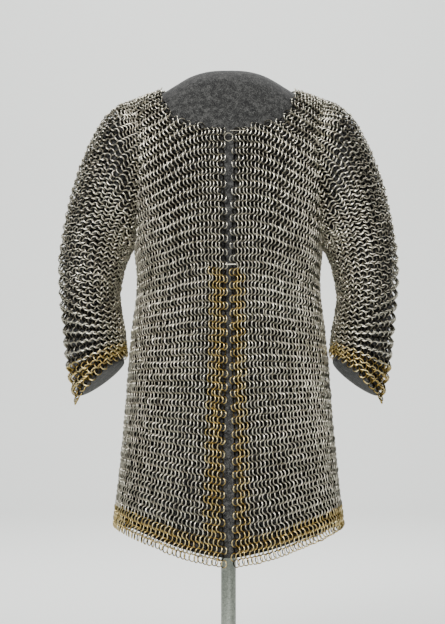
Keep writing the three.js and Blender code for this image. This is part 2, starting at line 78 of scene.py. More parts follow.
# %% Camera
CAMERA_DISTANCE = 3.5
CAMERA_HEIGHT = 0.675
VIEW_HEIGHT = 0.98          # of the garment's plane that the frame takes in
SENSOR = 24

camera_data = bpy.data.cameras.new("camera")
camera_data.sensor_fit = "VERTICAL"
camera_data.sensor_height = SENSOR
camera_data.lens = SENSOR * CAMERA_DISTANCE / VIEW_HEIGHT
camera = bpy.data.objects.new("camera", camera_data)
camera.location = (-0.0094, -CAMERA_DISTANCE, CAMERA_HEIGHT)
camera.rotation_euler = (math.pi / 2, 0, 0)
scene.collection.objects.link(camera)
scene.camera = camera

# %% [markdown]
# ## The garment's surface
# A ring needs three things: a place on the garment, the direction of its row, and the direction out of
# the cloth. They come from the garment's own pattern, which is a short table of level sections for the
# body, the line of the shoulder ridge, the hem, and slanting sections down the sleeve. These are the
# same sizes as the solid walls have, in millimetres.

# %% Pattern tables
BODY_SECTIONS = {
    "z": [262, 349, 412, 474, 537, 587, 638, 688, 725, 776],
    "half_width": [186, 177, 169, 162.5, 157, 153.5, 148.5, 142, 139.5, 144],
    "front": [131, 126, 121, 116, 111, 107, 103, 101, 103, 109],
    "back": [126, 122, 118, 114, 109, 103, 96, 92, 95, 105],
    "squareness": [2.35, 2.35, 2.35, 2.35, 2.35, 2.35, 2.35, 2.4, 2.45, 2.6],
}
RIDGE = {"x": [0, 40, 75, 100, 136, 160], "z": [1061, 1059, 1044, 1025, 1011, 1001]}
HEM = {
    "front": {"across": [0, 0.27, 0.46, 0.6, 0.77, 1], "z": [287, 301, 317, 327, 337, 342]},
    "back": {"across": [0, 0.46, 0.77, 1], "z": [303, 318, 335, 342]},
}
SLEEVE = {
    "outer_x": [172, 192, 208.5, 220.5, 231, 241, 249.5, 256.5, 262, 262, 259.5, 256, 252.5, 247, 235],
    "outer_z": [995, 977.5, 950, 925, 898, 868, 834, 798, 760, 720, 685, 650, 612, 575, 531],
    "inner_x": [151, 156, 161, 165, 168, 171, 173, 172, 170, 168, 166, 164, 163, 162, 161],
    "inner_z": [774, 766, 755, 743, 729, 714, 700, 687, 675, 663, 652, 641, 630, 619, 608],
    "depth": [68, 65, 62, 60, 58.5, 57.5, 57, 56.5, 56, 55, 54, 53, 52, 51, 50],
    "y": [-6, -7, -8, -9, -10, -11, -12, -13, -14, -15, -16, -17, -18, -19, -20],
    "lift": [0, 0, 0, 0, 0, 1, 1, 2, 2, 3, 4, 5, 6, 7, 10],
}
ARMPIT_HEIGHT = 776
RIDGE_BEHIND = 5
SHOULDER_SPREAD = 0.1
SHOULDER_FULLNESS = 2.4
NECK_POINT = 0.45
NECK_DEPTH = {"front": 0.18, "back": 0.079}
NECK_SQUARENESS = 2.4
BORDER_TOP = 736
ARMHOLE_TOP = 0.755
ARMHOLE_DIP = {"front": 0.09, "back": 0.0}
ARMHOLE_ROUNDNESS = 2.6

# %% [markdown]
# The tables are read through a smooth curve, so that a few rows are enough. Both surfaces are then
# worked out once on a fine net, and every ring looks its place up there. That is much faster than
# working the curves out again for each ring.

# %% Curves and nets
ACROSS_NET = 73
DOWN_NET = 241
ROUND_NET = 121
ALONG_NET = 181


def follow(table, key, column, at):
    """A table's column at some keys, on a smooth curve through its rows."""
    k, v = np.array(table[key], float), np.array(table[column], float)
    at = np.clip(np.asarray(at, float), k[0], k[-1])
    slope = np.empty_like(v)
    slope[1:-1] = (v[2:] - v[:-2]) / (k[2:] - k[:-2])
    slope[0] = (v[1] - v[0]) / (k[1] - k[0])
    slope[-1] = (v[-1] - v[-2]) / (k[-1] - k[-2])
    i = np.clip(np.searchsorted(k, at, side="right") - 1, 0, len(k) - 2)
    h = k[i + 1] - k[i]
    s = (at - k[i]) / h
    return (
        (2 * s**3 - 3 * s**2 + 1) * v[i]
        + (s**3 - 2 * s**2 + s) * h * slope[i]
        + (3 * s**2 - 2 * s**3) * v[i + 1]
        + (s**3 - s**2) * h * slope[i + 1]
    )


def even_steps(points, shares):
    """The points at some shares of a polyline's length."""
    lengths = np.concatenate([[0], np.cumsum(np.linalg.norm(np.diff(points, axis=0), axis=1))])
    goal = np.asarray(shares) * lengths[-1]
    return np.stack([np.interp(goal, lengths, points[:, axis]) for axis in range(3)], axis=-1)


def quarter_point(z, face, across):
    """The point a share of the way round a level quarter section, from the middle to the side."""
    angle = np.linspace(0, math.pi / 2, 49)
    power = 2 / follow(BODY_SECTIONS, "z", "squareness", z)
    outward = -1 if face == "front" else 1
    x = follow(BODY_SECTIONS, "z", "half_width", z) * np.sin(angle) ** power
    y = outward * follow(BODY_SECTIONS, "z", face, z) * np.cos(angle).clip(0) ** power
    return even_steps(np.stack([x, y, np.full_like(x, z)], axis=-1), [across])[0]


def body_column(face, across):
    """One line down the body, from the ridge to the hem, in even steps."""
    chest = quarter_point(ARMPIT_HEIGHT, face, across)
    top = follow(RIDGE, "x", "z", chest[0] * (1 + SHOULDER_SPREAD))
    angle = np.linspace(math.pi / 2, 0, 40)[:-1]
    rise = np.sin(angle) ** (2 / SHOULDER_FULLNESS)
    out = np.cos(angle).clip(0) ** (2 / SHOULDER_FULLNESS)
    shoulder = np.stack([
        chest[0] * (1 + SHOULDER_SPREAD * rise),
        RIDGE_BEHIND + (chest[1] - RIDGE_BEHIND) * out,
        ARMPIT_HEIGHT + (top - ARMPIT_HEIGHT) * rise,
    ], axis=-1)
    hem = follow(HEM[face], "across", "z", across)
    skirt = [quarter_point(z, face, across) for z in np.linspace(ARMPIT_HEIGHT, hem, 61)]
    return even_steps(np.concatenate([shoulder, skirt]), np.linspace(0, 1, DOWN_NET))


body_net = {
    face: np.stack([body_column(face, a) for a in np.linspace(0, 1, ACROSS_NET)])
    for face in ("front", "back")
}


def share_above(face, line, z):
    """The share of a column's length that lies above a height."""
    return float(np.interp(-z, -body_net[face][line][:, 2], np.linspace(0, 1, DOWN_NET)))


ARMHOLE_BOTTOM = share_above("front", -1, ARMPIT_HEIGHT)
BORDER_START = share_above("front", 0, BORDER_TOP)
print("body net:", body_net["front"].shape, "armhole ends at", round(ARMHOLE_BOTTOM, 3))


def on_net(net, u, v):
    """A net's points at shares u and v of its two directions."""
    a = np.clip(u, 0, 1) * (net.shape[0] - 1)
    b = np.clip(v, 0, 1) * (net.shape[1] - 1)
    i = np.minimum(a.astype(int), net.shape[0] - 2)
    j = np.minimum(b.astype(int), net.shape[1] - 2)
    s, t = (a - i)[:, None], (b - j)[:, None]
    return (
        net[i, j] * (1 - s) * (1 - t) + net[i + 1, j] * s * (1 - t)
        + net[i, j + 1] * (1 - s) * t + net[i + 1, j + 1] * s * t
    )


# %% Edges of the pieces
def armhole_edge(face, down):
    """How far across the armhole lies at a height."""
    t = np.clip(np.asarray(down, float) / ARMHOLE_BOTTOM, 0, 1)
    turn = 1 - (1 - t**ARMHOLE_ROUNDNESS) ** (1 / ARMHOLE_ROUNDNESS)
    return ARMHOLE_TOP + (1 - ARMHOLE_TOP) * turn - ARMHOLE_DIP[face] * np.sin(math.pi * t).clip(0) ** 1.5


def neck_edge(face, down):
    """How far across the neck opening reaches at a height."""
    t = np.clip(np.asarray(down, float) / NECK_DEPTH[face], 0, 1)
    return NECK_POINT * (1 - t**NECK_SQUARENESS) ** (1 / NECK_SQUARENESS)


def sleeve_net():
    """The sleeve's net on the +x side: round the arm from its outer line by the front, and along it."""
    around = np.linspace(0, 1, ROUND_NET)
    down = ARMHOLE_BOTTOM * np.where(around <= 0.5, around, 1 - around) * 2
    armhole = np.where(
        (around <= 0.5)[:, None],
        on_net(body_net["front"], armhole_edge("front", down), down),
        on_net(body_net["back"], armhole_edge("back", down), down),
    )
    sections = [armhole]
    angle = (around * 2 * math.pi)[:, None]
    for i in range(len(SLEEVE["y"])):
        row = {name: column[i] for name, column in SLEEVE.items()}
        outer = np.array([row["outer_x"], row["y"], row["outer_z"]])
        inner = np.array([row["inner_x"], row["y"], row["inner_z"]])
        outward = (outer - inner) / 2
        up_arm = np.array([-outward[2], 0, outward[0]]) / np.linalg.norm(outward)
        forward = np.array([0, -row["depth"], 0]) + up_arm * row["lift"]
        sections.append((outer + inner) / 2 + outward * np.cos(angle) + forward * np.sin(angle))
    sections = np.stack(sections, axis=1)
    last = sections.shape[1] - 1
    at = np.linspace(0, last, ALONG_NET)
    i = np.minimum(at.astype(int), last - 1)
    s = (at - i)[None, :, None]
    a, b, c, d = (sections[:, np.clip(i + k, 0, last)] for k in (-1, 0, 1, 2))
    return 0.5 * (2 * b + (c - a) * s + (2 * a - 5 * b + 4 * c - d) * s**2 + (3 * b - a - 3 * c + d) * s**3)


arm_net = sleeve_net()


def body(face, side, across, down):
    """Points of the body. side is 1 for the wearer's left and -1 for the right."""
    return on_net(body_net[face], across, down) * (side, 1, 1)


def sleeve(side, around, along):
    """Points of a sleeve. around is 0 on its outer line and 0.25 in front; along is 1 at the cuff."""
    return on_net(arm_net, np.mod(around, 1), along) * (side, 1, 1)


# %% [markdown]
# ## The lattice of rings
# In four-in-one mail each ring passes through four others, two in the row above and two in the row
# below. Rows lie side to side across the body and run on down the sleeves, as in a shirt cut like a T.
# Odd rows are shifted by half a ring, and lean the other way. That lean is what lets the rings pass
# through each other, and it gives mail its upright chains of curls.
#
# A ring here is a place, a frame (the row's direction, the direction up the chain, and out of the
# cloth), a lean, and whether it is brass.

# %% Ring sizes
WIRE = 1.8                  # thickness of the wire
RING = 5.9                  # radius to the middle of the wire
LEAN = math.radians(37)
SHINGLE = math.radians(13)  # on the sleeves each row also lies on the next, like tiles
ROWS = 80                   # from the shoulder ridge to the hem
COLUMNS = 35                # from the middle of a face to the side line
SLEEVE_COLUMNS = 29         # beyond the side line, along the sleeve
HEM_ROWS = 4                # of brass
BORDER_COLUMNS = {-1: 4, 1: 3}
CUFF_RINGS = 3
BACK_SHORT = 1.2            # by how many rings the sleeves' backs are shorter
SLEEVE_PITCH = {"upper": 8.0, "cuff": 12.4}   # along the front of the sleeve
WIDENING = {"from": 0.25, "over": 0.4}        # where along it the pitch grows
SLIT = {                    # half the gap between the fronts
    "down": [0.2, 0.3, 0.36, 0.46, 0.68, 0.73, 0.92, 0.96, 1.0],
    "half": [4.3, 4.1, 2.2, 1.8, 2.0, 4.0, 4.4, 2.4, 1.8],
}

LEAN_SCATTER = math.radians(5.5)   # of each ring about its row's lean
TIP_SCATTER = math.radians(5)
PLACE_SCATTER = 0.32
SIZE_SCATTER = 0.012        # as a share of a ring's size
EDGE_RING = 3.6             # from the slit's edge to the middle of the first ring
FACE_WIDTH = 215            # about that of half a face, which turns millimetres into shares
NECK_OVERLAP = 0.007        # how far down the neck edge is looked up above each row
NECK_MARGIN = 0.02          # how far across the first ring keeps clear of the neck edge

rng = np.random.default_rng(11)


class Rings:
    """A growing list of rings, each a place, a frame and the direction out of the cloth."""

    def __init__(self):
        self.parts = []

    def add(self, place, row, out, lean, shingle=0.0):
        """Adds rings that lean about the way up their chain and tip about their row."""
        out = out / np.linalg.norm(out, axis=1, keepdims=True)
        row = row - out * np.sum(row * out, axis=1, keepdims=True)
        row = row / np.linalg.norm(row, axis=1, keepdims=True)
        up = np.cross(out, row)
        lean = np.asarray(lean) + rng.normal(0, LEAN_SCATTER, len(place))
        tip = np.full(len(place), shingle) + rng.normal(0, TIP_SCATTER, len(place))
        x = row * np.cos(lean)[:, None] - out * np.sin(lean)[:, None]
        z = out * np.cos(lean)[:, None] + row * np.sin(lean)[:, None]
        y = up * np.cos(tip)[:, None] + z * np.sin(tip)[:, None]
        z = np.cross(x, y)
        place = place + rng.normal(0, PLACE_SCATTER, place.shape)
        self.parts.append((place, np.stack([x, y, z], axis=-1), out))

    def joined(self):
        """The places, the frames and the outward directions of all the rings."""
        return [np.concatenate(column) for column in zip(*self.parts)]

    def count(self):
        return sum(len(part[0]) for part in self.parts)


def offset_of(face, side, row):
    """Where a row's first ring lies, in rings. Rows that meet at a side line add up to a whole ring."""
    even = (row + (face == "back") + (side < 0)) % 2 == 0
    return 0.25 if even else 0.75


def body_row(face, side, i):
    """The rings' places across, in one row of one face and side, with their column numbers."""
    down = (i + 0.5) / ROWS
    column = np.arange(COLUMNS) + offset_of(face, side, i)
    across = column / COLUMNS
    if face == "front":
        clear = follow(SLIT, "down", "half", down) + EDGE_RING
        across = across + clear / FACE_WIDTH * (1 - across) ** 2
    keep = np.full(len(across), True)
    if down < NECK_DEPTH[face] + NECK_OVERLAP:
        keep = across > neck_edge(face, down - NECK_OVERLAP) + NECK_MARGIN
    if down < ARMHOLE_BOTTOM:
        keep &= across < armhole_edge(face, down)
    return across[keep], column[keep], down


STEP = 0.006


def body_frame(face, side, across, down):
    """The row's direction and the direction out, on the body."""
    down = np.full_like(across, np.clip(down, STEP, 1 - STEP))
    over = body(face, side, across + STEP, down) - body(face, side, across - STEP, down)
    fall = body(face, side, across, down + STEP) - body(face, side, across, down - STEP)
    out = np.cross(over, fall)
    toward = -1 if face == "front" else 1
    out *= np.sign(out[:, 1:2] * toward + 1e-9)
    row = np.cross(out, fall)
    return row, out


# %% Rings of the body
mail = {name: Rings() for name in (
    "front_right", "front_left", "back_right", "back_left",
    "slit_border_right", "slit_border_left", "hem_front_right", "hem_front_left",
    "hem_back", "sleeve_right", "sleeve_left", "cuff_right", "cuff_left",
)}
side_name = {1: "left", -1: "right"}

for face in ("front", "back"):
    for side in (1, -1):
        for i in range(ROWS):
            across, column, down = body_row(face, side, i)
            if not len(across):
                continue
            place = body(face, side, across, np.full_like(across, down))
            row, out = body_frame(face, side, across, down)
            lean = np.full(len(across), LEAN if i % 2 == 0 else -LEAN)
            is_hem = i >= ROWS - HEM_ROWS
            has_border = face == "front" and down > BORDER_START and not is_hem
            border = (column < BORDER_COLUMNS[side]) & has_border
            if is_hem:
                target = "hem_back" if face == "back" else f"hem_front_{side_name[side]}"
            else:
                target = f"{face}_{side_name[side]}"
            for name, chosen in ((target, ~border), (f"slit_border_{side_name[side]}", border)):
                if chosen.any():
                    mail[name].add(place[chosen], row[chosen], out[chosen], lean[chosen])
print("rings on the body:", sum(rings.count() for rings in mail.values()))

# %% Rings of the sleeves
front_line = sleeve(1, np.full(ALONG_NET, 0.25), np.linspace(0, 1, ALONG_NET))
front_length = np.concatenate([[0], np.cumsum(np.linalg.norm(np.diff(front_line, axis=0), axis=1))])
widening = (front_length / front_length[-1] - WIDENING["from"]) / WIDENING["over"]
pitch = SLEEVE_PITCH["upper"] + (SLEEVE_PITCH["cuff"] - SLEEVE_PITCH["upper"]) * np.clip(widening, 0, 1)
ring_number = np.concatenate([[0], np.cumsum(np.diff(front_length) / pitch[1:])])
ring_share = ring_number / ring_number[-1]
print("front of the sleeve:", round(front_length[-1]), "mm,", round(ring_number[-1], 1), "rings")

arm_rows = [i for i in range(ROWS) if (i + 0.5) / ROWS < ARMHOLE_BOTTOM]


def arm_row(face, side, i):
    """The rings' places along one row of a sleeve, and how far round the arm the row lies."""
    down = (i + 0.5) / ROWS
    start = float(armhole_edge(face, down)) * COLUMNS
    end = COLUMNS + SLEEVE_COLUMNS
    column = np.arange(int(start), end) + offset_of(face, side, i)
    column = column[(column > start) & (column < end - (BACK_SHORT if face == "back" else 0))]
    share = (column - start) / (end - start)
    along = np.interp(share, ring_share, np.linspace(0, 1, ALONG_NET))
    half = (i + 0.5) / len(arm_rows) / 2
    around = np.full_like(along, half if face == "front" else 1 - half)
    return around, along, end - column


for side in (1, -1):
    for face in ("front", "back"):
        for i in arm_rows:
            around, along, to_cuff = arm_row(face, side, i)
            place = sleeve(side, around, along)
            down_arm = sleeve(side, around, np.minimum(along + STEP, 1)) - sleeve(side, around, along - STEP)
            about = sleeve(side, around + STEP, along) - sleeve(side, around - STEP, along)
            out = np.cross(down_arm, about) * side
            centre = (place + sleeve(side, around + 0.5, along)) / 2
            out *= np.sign(np.sum(out * (place - centre), axis=1, keepdims=True))
            leans_out = (i % 2 == 0) == (face == "front")
            lean = np.full(len(along), LEAN if leans_out else -LEAN)
            is_cuff = to_cuff < CUFF_RINGS
            for name, chosen in (("sleeve", ~is_cuff), ("cuff", is_cuff)):
                mail[f"{name}_{side_name[side]}"].add(
                    place[chosen], side * down_arm[chosen], out[chosen], lean[chosen], SHINGLE)
print("rings in all:", sum(rings.count() for rings in mail.values()))

# %% [markdown]
# ## One ring, and a shirt of them
# One ring is a three-sided wire spun about an axis. Smooth shading makes it look round, and at sixty
# triangles fourteen thousand of them still fit. Geometry Nodes sets a copy on every place of the
# lattice, and the copies are then made real, so each piece of mail is one mesh.

# %% The ring
def new_object(name, mesh):
    """A new object in the scene, at the origin."""
    made = bpy.data.objects.new(name, mesh)
    scene.collection.objects.link(made)
    return made


def ring_mesh(name, radius, wire, steps, sides):
    """A ring of wire about the z axis, spun from a small circle."""
    bm = bmesh.new()
    circle = bmesh.ops.create_circle(bm, segments=sides, radius=wire / 2)
    bmesh.ops.rotate(bm, verts=circle["verts"], cent=(0, 0, 0), matrix=Matrix.Rotation(math.pi / 2, 3, "X"))
    bmesh.ops.translate(bm, verts=circle["verts"], vec=(radius, 0, 0))
    bmesh.ops.spin(bm, geom=bm.verts[:] + bm.edges[:], cent=(0, 0, 0), axis=(0, 0, 1),
                   angle=2 * math.pi, steps=steps, use_merge=True)
    bmesh.ops.remove_doubles(bm, verts=bm.verts[:], dist=wire * 0.01)
    bmesh.ops.recalc_face_normals(bm, faces=bm.faces[:])
    for face in bm.faces:
        face.smooth = True
    mesh = bpy.data.meshes.new(name)
    bm.to_mesh(mesh)
    bm.free()
    return mesh


RING_STEPS = 10
SIDES = 3
ACROSS_CORNERS = math.pi / (SIDES * math.sin(math.pi / SIDES))   # gives it the round wire's mean width
one_ring = ring_mesh("ring_source", RING * MM, WIRE * ACROSS_CORNERS * MM, RING_STEPS, SIDES)
ring_source = new_object("ring_source", one_ring)
print("one ring:", len(ring_source.data.polygons) * 2, "triangles")

# %% Nodes for setting the copies
def add_node(tree, kind, settings=None, inputs=None, links=None):
    """Adds a node. settings are its properties, inputs its values, and links its incoming sockets."""
    node = tree.nodes.new(kind)
    for name, value in (settings or {}).items():
        setattr(node, name, value)
    for name, value in (inputs or {}).items():
        node.inputs[name].default_value = value
    for name, socket in (links or {}).items():
        tree.links.new(socket, node.inputs[name])
    return node


def copies_tree(source):
    """A node group that sets a copy of the source on every point, turned and sized by attributes."""
    tree = bpy.data.node_groups.new("ring_copies", "GeometryNodeTree")
    tree.interface.new_socket("Geometry", in_out="INPUT", socket_type="NodeSocketGeometry")
    tree.interface.new_socket("Geometry", in_out="OUTPUT", socket_type="NodeSocketGeometry")
    points = add_node(tree, "NodeGroupInput")
    ring = add_node(tree, "GeometryNodeObjectInfo", {"transform_space": "ORIGINAL"})
    ring.inputs["Object"].default_value = source
    turn = add_node(tree, "GeometryNodeInputNamedAttribute", {"data_type": "QUATERNION"}, {"Name": "turn"})
    size = add_node(tree, "GeometryNodeInputNamedAttribute", {"data_type": "FLOAT"}, {"Name": "size"})
    copies = add_node(tree, "GeometryNodeInstanceOnPoints", links={
        "Points": points.outputs[0],
        "Instance": ring.outputs["Geometry"],
        "Rotation": turn.outputs["Attribute"],
        "Scale": size.outputs["Attribute"],
    })
    real = add_node(tree, "GeometryNodeRealizeInstances", links={"Geometry": copies.outputs["Instances"]})
    add_node(tree, "NodeGroupOutput", links={"Geometry": real.outputs["Geometry"]})
    return tree


ring_tree = copies_tree(ring_source)


def woven(name, rings, material, node):
    """One mesh of rings, which stands for its CAD node."""
    place, frames, out = rings.joined()
    points = bpy.data.meshes.new(name + "_points")
    points.from_pydata(place * MM, [], [])
    turn = points.attributes.new("turn", "QUATERNION", "POINT")
    spun = rng.uniform(0, 2 * math.pi, len(place))
    quaternions = [
        (Matrix(frame.tolist()) @ Matrix.Rotation(angle, 3, "Z")).to_quaternion()
        for frame, angle in zip(frames, spun)
    ]
    turn.data.foreach_set("value", np.array([tuple(q) for q in quaternions], np.float32).ravel())
    points.attributes.new("size", "FLOAT", "POINT").data.foreach_set(
        "value", rng.normal(1, SIZE_SCATTER, len(place)).astype(np.float32))
    points.attributes.new("tarnish", "FLOAT", "POINT").data.foreach_set(
        "value", rng.random(len(place)).astype(np.float32))
    holder = new_object(name + "_holder", points)
    holder.modifiers.new("copies", "NODES").node_group = ring_tree
    evaluated = holder.evaluated_get(bpy.context.evaluated_depsgraph_get())
    mesh = bpy.data.meshes.new_from_object(evaluated)
    bpy.data.objects.remove(holder)
    mesh.name = name
    corners = np.empty(len(mesh.vertices) * 3, np.float32)
    mesh.vertices.foreach_get("co", corners)
    corners = corners.reshape(len(place), -1, 3) - place[:, None] * MM
    # How far out each point of a ring lies; the wire materials paint light and shade from it.
    outward = np.einsum("rvk,rk->rv", corners, out) / (RING * MM)
    mesh.attributes.new("outward", "FLOAT", "POINT").data.foreach_set(
        "value", outward.astype(np.float32).ravel())
    mesh.materials.clear()
    mesh.materials.append(material)
    piece = new_object(name, mesh)
    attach(piece, "root")
    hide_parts(node)
    print(f"{name}: {len(place)} rings, {len(mesh.polygons)} faces")
    return piece, len(place)


# %% [markdown]
# ## Colours and metals
# Each ring's wire is painted bright on the side that faces out and nearly black on the inner side. The
# bright side is painted light, and the dark side is painted shade where the neighbouring rings shade it.
# Brass does the same, in a dull gold. Every point of a ring knows how far out it lies, which sets this
# painted light and shade.
# Each ring also has a tarnish number of its own, so no two are alike.

# %% Colour helper
def linear(hex_colour):
    """An sRGB hex colour as the linear values that a shader takes."""
    parts = [int(hex_colour[i:i + 2], 16) / 255 for i in (1, 3, 5)]
    return tuple(p / 12.92 if p <= 0.04045 else ((p + 0.055) / 1.055) ** 2.4 for p in parts) + (1,)


def new_material(name):
    """A new material with its node tree and its shader."""
    material = bpy.data.materials.new(name)
    material.use_nodes = True
    tree = material.node_tree
    return material, tree, tree.nodes["Principled BSDF"]


def place_in_mm(tree):
    """Object coordinates in millimetres."""
    where = add_node(tree, "ShaderNodeTexCoord")
    return add_node(tree, "ShaderNodeVectorMath", {"operation": "SCALE"}, {"Scale": 1000},
                    {0: where.outputs["Object"]}).outputs[0]


def ramp(tree, factor, stops):
    """A colour ramp. stops are pairs of place and hex colour."""
    node = add_node(tree, "ShaderNodeValToRGB", links={"Fac": factor})
    elements = node.color_ramp.elements
    while len(elements) < len(stops):
        elements.new(0.5)
    for element, (at, colour) in zip(elements, stops):
        element.position = at
        element.color = linear(colour)
    return node.outputs["Color"]


# %% Iron and brass wire
def ring_metal(name, stops, roughness):
    """Drawn wire: painted light on the side that faces out, and painted shade on the inner side."""
    material, tree, shader = new_material(name)
    mm = place_in_mm(tree)
    outward = add_node(tree, "ShaderNodeAttribute", {"attribute_name": "outward"})
    own = add_node(tree, "ShaderNodeAttribute", {"attribute_name": "tarnish"})
    cloud = add_node(tree, "ShaderNodeTexNoise", inputs={"Scale": 1 / 60, "Detail": 2}, links={"Vector": mm})
    grit = add_node(tree, "ShaderNodeTexNoise", inputs={"Scale": 1 / 2.5, "Detail": 2}, links={"Vector": mm})
    # Painted light and shade: the wire is lighter towards the outer side of each ring and darker towards the
    # inner side, where the neighbouring rings shade it.
    reach = {"From Min": -0.65, "From Max": 0.6, "To Min": -0.27, "To Max": 0.52}
    painted_shade_and_light = add_node(tree, "ShaderNodeMapRange", inputs=reach, links={"Value": outward.outputs["Fac"]})
    mixed = painted_shade_and_light.outputs[0]
    for source, share in ((own, 0.22), (cloud, 0.25), (grit, 0.2)):
        mixed = add_node(tree, "ShaderNodeMath", {"operation": "MULTIPLY_ADD"}, {1: share},
                         {0: source.outputs["Fac"], 2: mixed}).outputs[0]
    tree.links.new(ramp(tree, mixed, stops), shader.inputs["Base Color"])
    shader.inputs["Metallic"].default_value = 1
    shader.inputs["Roughness"].default_value = roughness
    return material


# The stops run from the painted shade of the inner side to the painted highlight of the outer side.
iron_stops = [(0.15, "#0d0c09"), (0.42, "#4f4b41"), (0.7, "#b0aa98"), (0.92, "#f3edda")]
brass_stops = [(0.15, "#171207"), (0.42, "#75612f"), (0.7, "#cfb26a"), (0.92, "#f7e5ac")]
WIRE_ROUGHNESS = 0.3
iron = ring_metal("iron_wire", iron_stops, WIRE_ROUGHNESS)
brass = ring_metal("brass_wire", brass_stops, WIRE_ROUGHNESS)

# %% Bright wire of the ring and the links at the slit
def bright_wire():
    """Plain rubbed iron wire."""
    material, _, shader = new_material("bright_wire")
    shader.inputs["Base Color"].default_value = linear("#cfc9b6")
    shader.inputs["Metallic"].default_value = 1
    shader.inputs["Roughness"].default_value = 0.36
    return material


# %% Weave every piece of mail
woven_from = {              # each piece's rings, metal and CAD node
    "mail_front_right": ("front_right", iron, "front_right"),
    "mail_front_left": ("front_left", iron, "front_left"),
    "mail_back_right": ("back_right", iron, "back"),
    "mail_back_left": ("back_left", iron, "back"),
    "mail_sleeve_right": ("sleeve_right", iron, "sleeve_right"),
    "mail_sleeve_left": ("sleeve_left", iron, "sleeve_left"),
    "brass_slit_border_right": ("slit_border_right", brass, "slit_border_right"),
    "brass_slit_border_left": ("slit_border_left", brass, "slit_border_left"),
    "brass_hem_front_right": ("hem_front_right", brass, "hem_front_right"),
    "brass_hem_front_left": ("hem_front_left", brass, "hem_front_left"),
    "brass_hem_back": ("hem_back", brass, "hem_back"),
    "brass_cuff_right": ("cuff_right", brass, "cuff_right"),
    "brass_cuff_left": ("cuff_left", brass, "cuff_left"),
}
for name, (source, metal, node) in woven_from.items():
    piece, count = woven(name, mail[source], metal, node)

# %% [markdown]
# ## The form, the pads and the stand
# The form is a hard torso covered in needle felt: a mat of dark grey fibres with paler ones through
# it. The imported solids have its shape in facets, so a copy is merged and subdivided to make it smooth.
# The pads in the sleeves are felt as well, and run on into the form under the mail.

# %% Needle felt
def needle_felt():
    """Needle felt: dark grey wool and synthetic fibres, mottled, with pale fibres lying all ways."""
    material, tree, shader = new_material("needle_felt")
    mm = place_in_mm(tree)
    cloud = add_node(tree, "ShaderNodeTexNoise", inputs={"Scale": 1 / 9, "Detail": 4, "Roughness": 0.75},
                     links={"Vector": mm})
    fleck = add_node(tree, "ShaderNodeTexNoise", inputs={"Scale": 1 / 2.6, "Detail": 3, "Distortion": 1.5},
                     links={"Vector": mm})
    both = add_node(tree, "ShaderNodeMath", {"operation": "MULTIPLY_ADD"}, {1: 0.7},
                    {0: fleck.outputs["Fac"], 2: cloud.outputs["Fac"]})
    ground = ramp(tree, both.outputs[0], [(0.7, "#0f0f0f"), (0.85, "#232322"), (1.0, "#464644")])
    lines = add_node(tree, "ShaderNodeTexNoise", inputs={"Scale": 1 / 6, "Detail": 1, "Distortion": 2.5},
                     links={"Vector": mm})
    off = add_node(tree, "ShaderNodeMath", {"operation": "SUBTRACT"}, {1: 0.5}, {0: lines.outputs["Fac"]})
    near = add_node(tree, "ShaderNodeMath", {"operation": "ABSOLUTE"}, links={0: off.outputs[0]})
    reach = {"From Min": 0.0, "From Max": 0.025, "To Min": 0.45, "To Max": 0.0}
    fibre = add_node(tree, "ShaderNodeMapRange", inputs=reach, links={"Value": near.outputs[0]})
    mix = add_node(tree, "ShaderNodeMix", {"data_type": "RGBA"},
                   links={"Factor": fibre.outputs[0], "A": ground})
    mix.inputs["B"].default_value = linear("#8b8b88")
    tree.links.new(mix.outputs["Result"], shader.inputs["Base Color"])
    bump = add_node(tree, "ShaderNodeBump", inputs={"Strength": 0.5, "Distance": 0.0008},
                    links={"Height": both.outputs[0]})
    tree.links.new(bump.outputs["Normal"], shader.inputs["Normal"])
    shader.inputs["Roughness"].default_value = 0.95
    shader.inputs["Sheen Weight"].default_value = 0.1
    return material


felt = needle_felt()


# %% Smooth copies of the soft solids
HEM_LEVEL = 400             # below this height the form's edges stay sharp
PLUG = 30                   # how far a sleeve pad's upper end runs on into the torso form
PLUG_RISE = 20
PLUG_TAPER = (1, 0.45, 0.72)
FACES_IN = 0.7              # how far a face of a pad's upper end is turned towards the body


def plug(bm, side):
    """Runs a pad's upper end on into the torso form, so that no light comes between them."""
    upper = [f for f in bm.faces if f.calc_center_median().z > ARMPIT_HEIGHT * MM]
    towards = [f for f in upper if f.normal.x * side < -FACES_IN]
    grown = bmesh.ops.extrude_face_region(bm, geom=towards)["geom"]
    bmesh.ops.delete(bm, geom=towards, context="FACES")
    end = [g for g in grown if isinstance(g, bmesh.types.BMVert)]
    centre = sum((v.co for v in end), Vector()) / len(end)
    bmesh.ops.scale(bm, verts=end, vec=PLUG_TAPER, space=Matrix.Translation(-centre))
    bmesh.ops.translate(bm, verts=end, vec=(-side * PLUG * MM, 0, PLUG_RISE * MM))


def smoothed(name, node, material, pad_side=0):
    """A merged and subdivided copy of a CAD solid."""
    bm = bmesh.new()
    bm.from_mesh(frame["nodes"][node].data)
    bmesh.ops.remove_doubles(bm, verts=bm.verts[:], dist=0.00005)
    bmesh.ops.dissolve_limit(bm, angle_limit=math.radians(0.5), verts=bm.verts[:], edges=bm.edges[:])
    if pad_side:
        plug(bm, pad_side)
    crease = bm.edges.layers.float.new("crease_edge")
    for edge in bm.edges:
        if len(edge.link_faces) == 2 and edge.calc_face_angle() > math.radians(50):
            low = all(v.co.z < HEM_LEVEL * MM for v in edge.verts)
            edge[crease] = 1 if pad_side or low else 0.7
    for face in bm.faces:
        face.smooth = True
    mesh = bpy.data.meshes.new(name)
    bm.to_mesh(mesh)
    bm.free()
    mesh.materials.clear()
    mesh.materials.append(material)
    piece = new_object(name, mesh)
    subdivision = piece.modifiers.new("subdivision", "SUBSURF")
    subdivision.levels = subdivision.render_levels = 2
    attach(piece, "root")
    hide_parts(node)
    return piece


torso = smoothed("felt_torso_form", "torso_form", felt)
for side, sign in (("right", -1), ("left", 1)):
    pad = smoothed(f"felt_sleeve_pad_{side}", f"sleeve_pad_{side}", felt, sign)


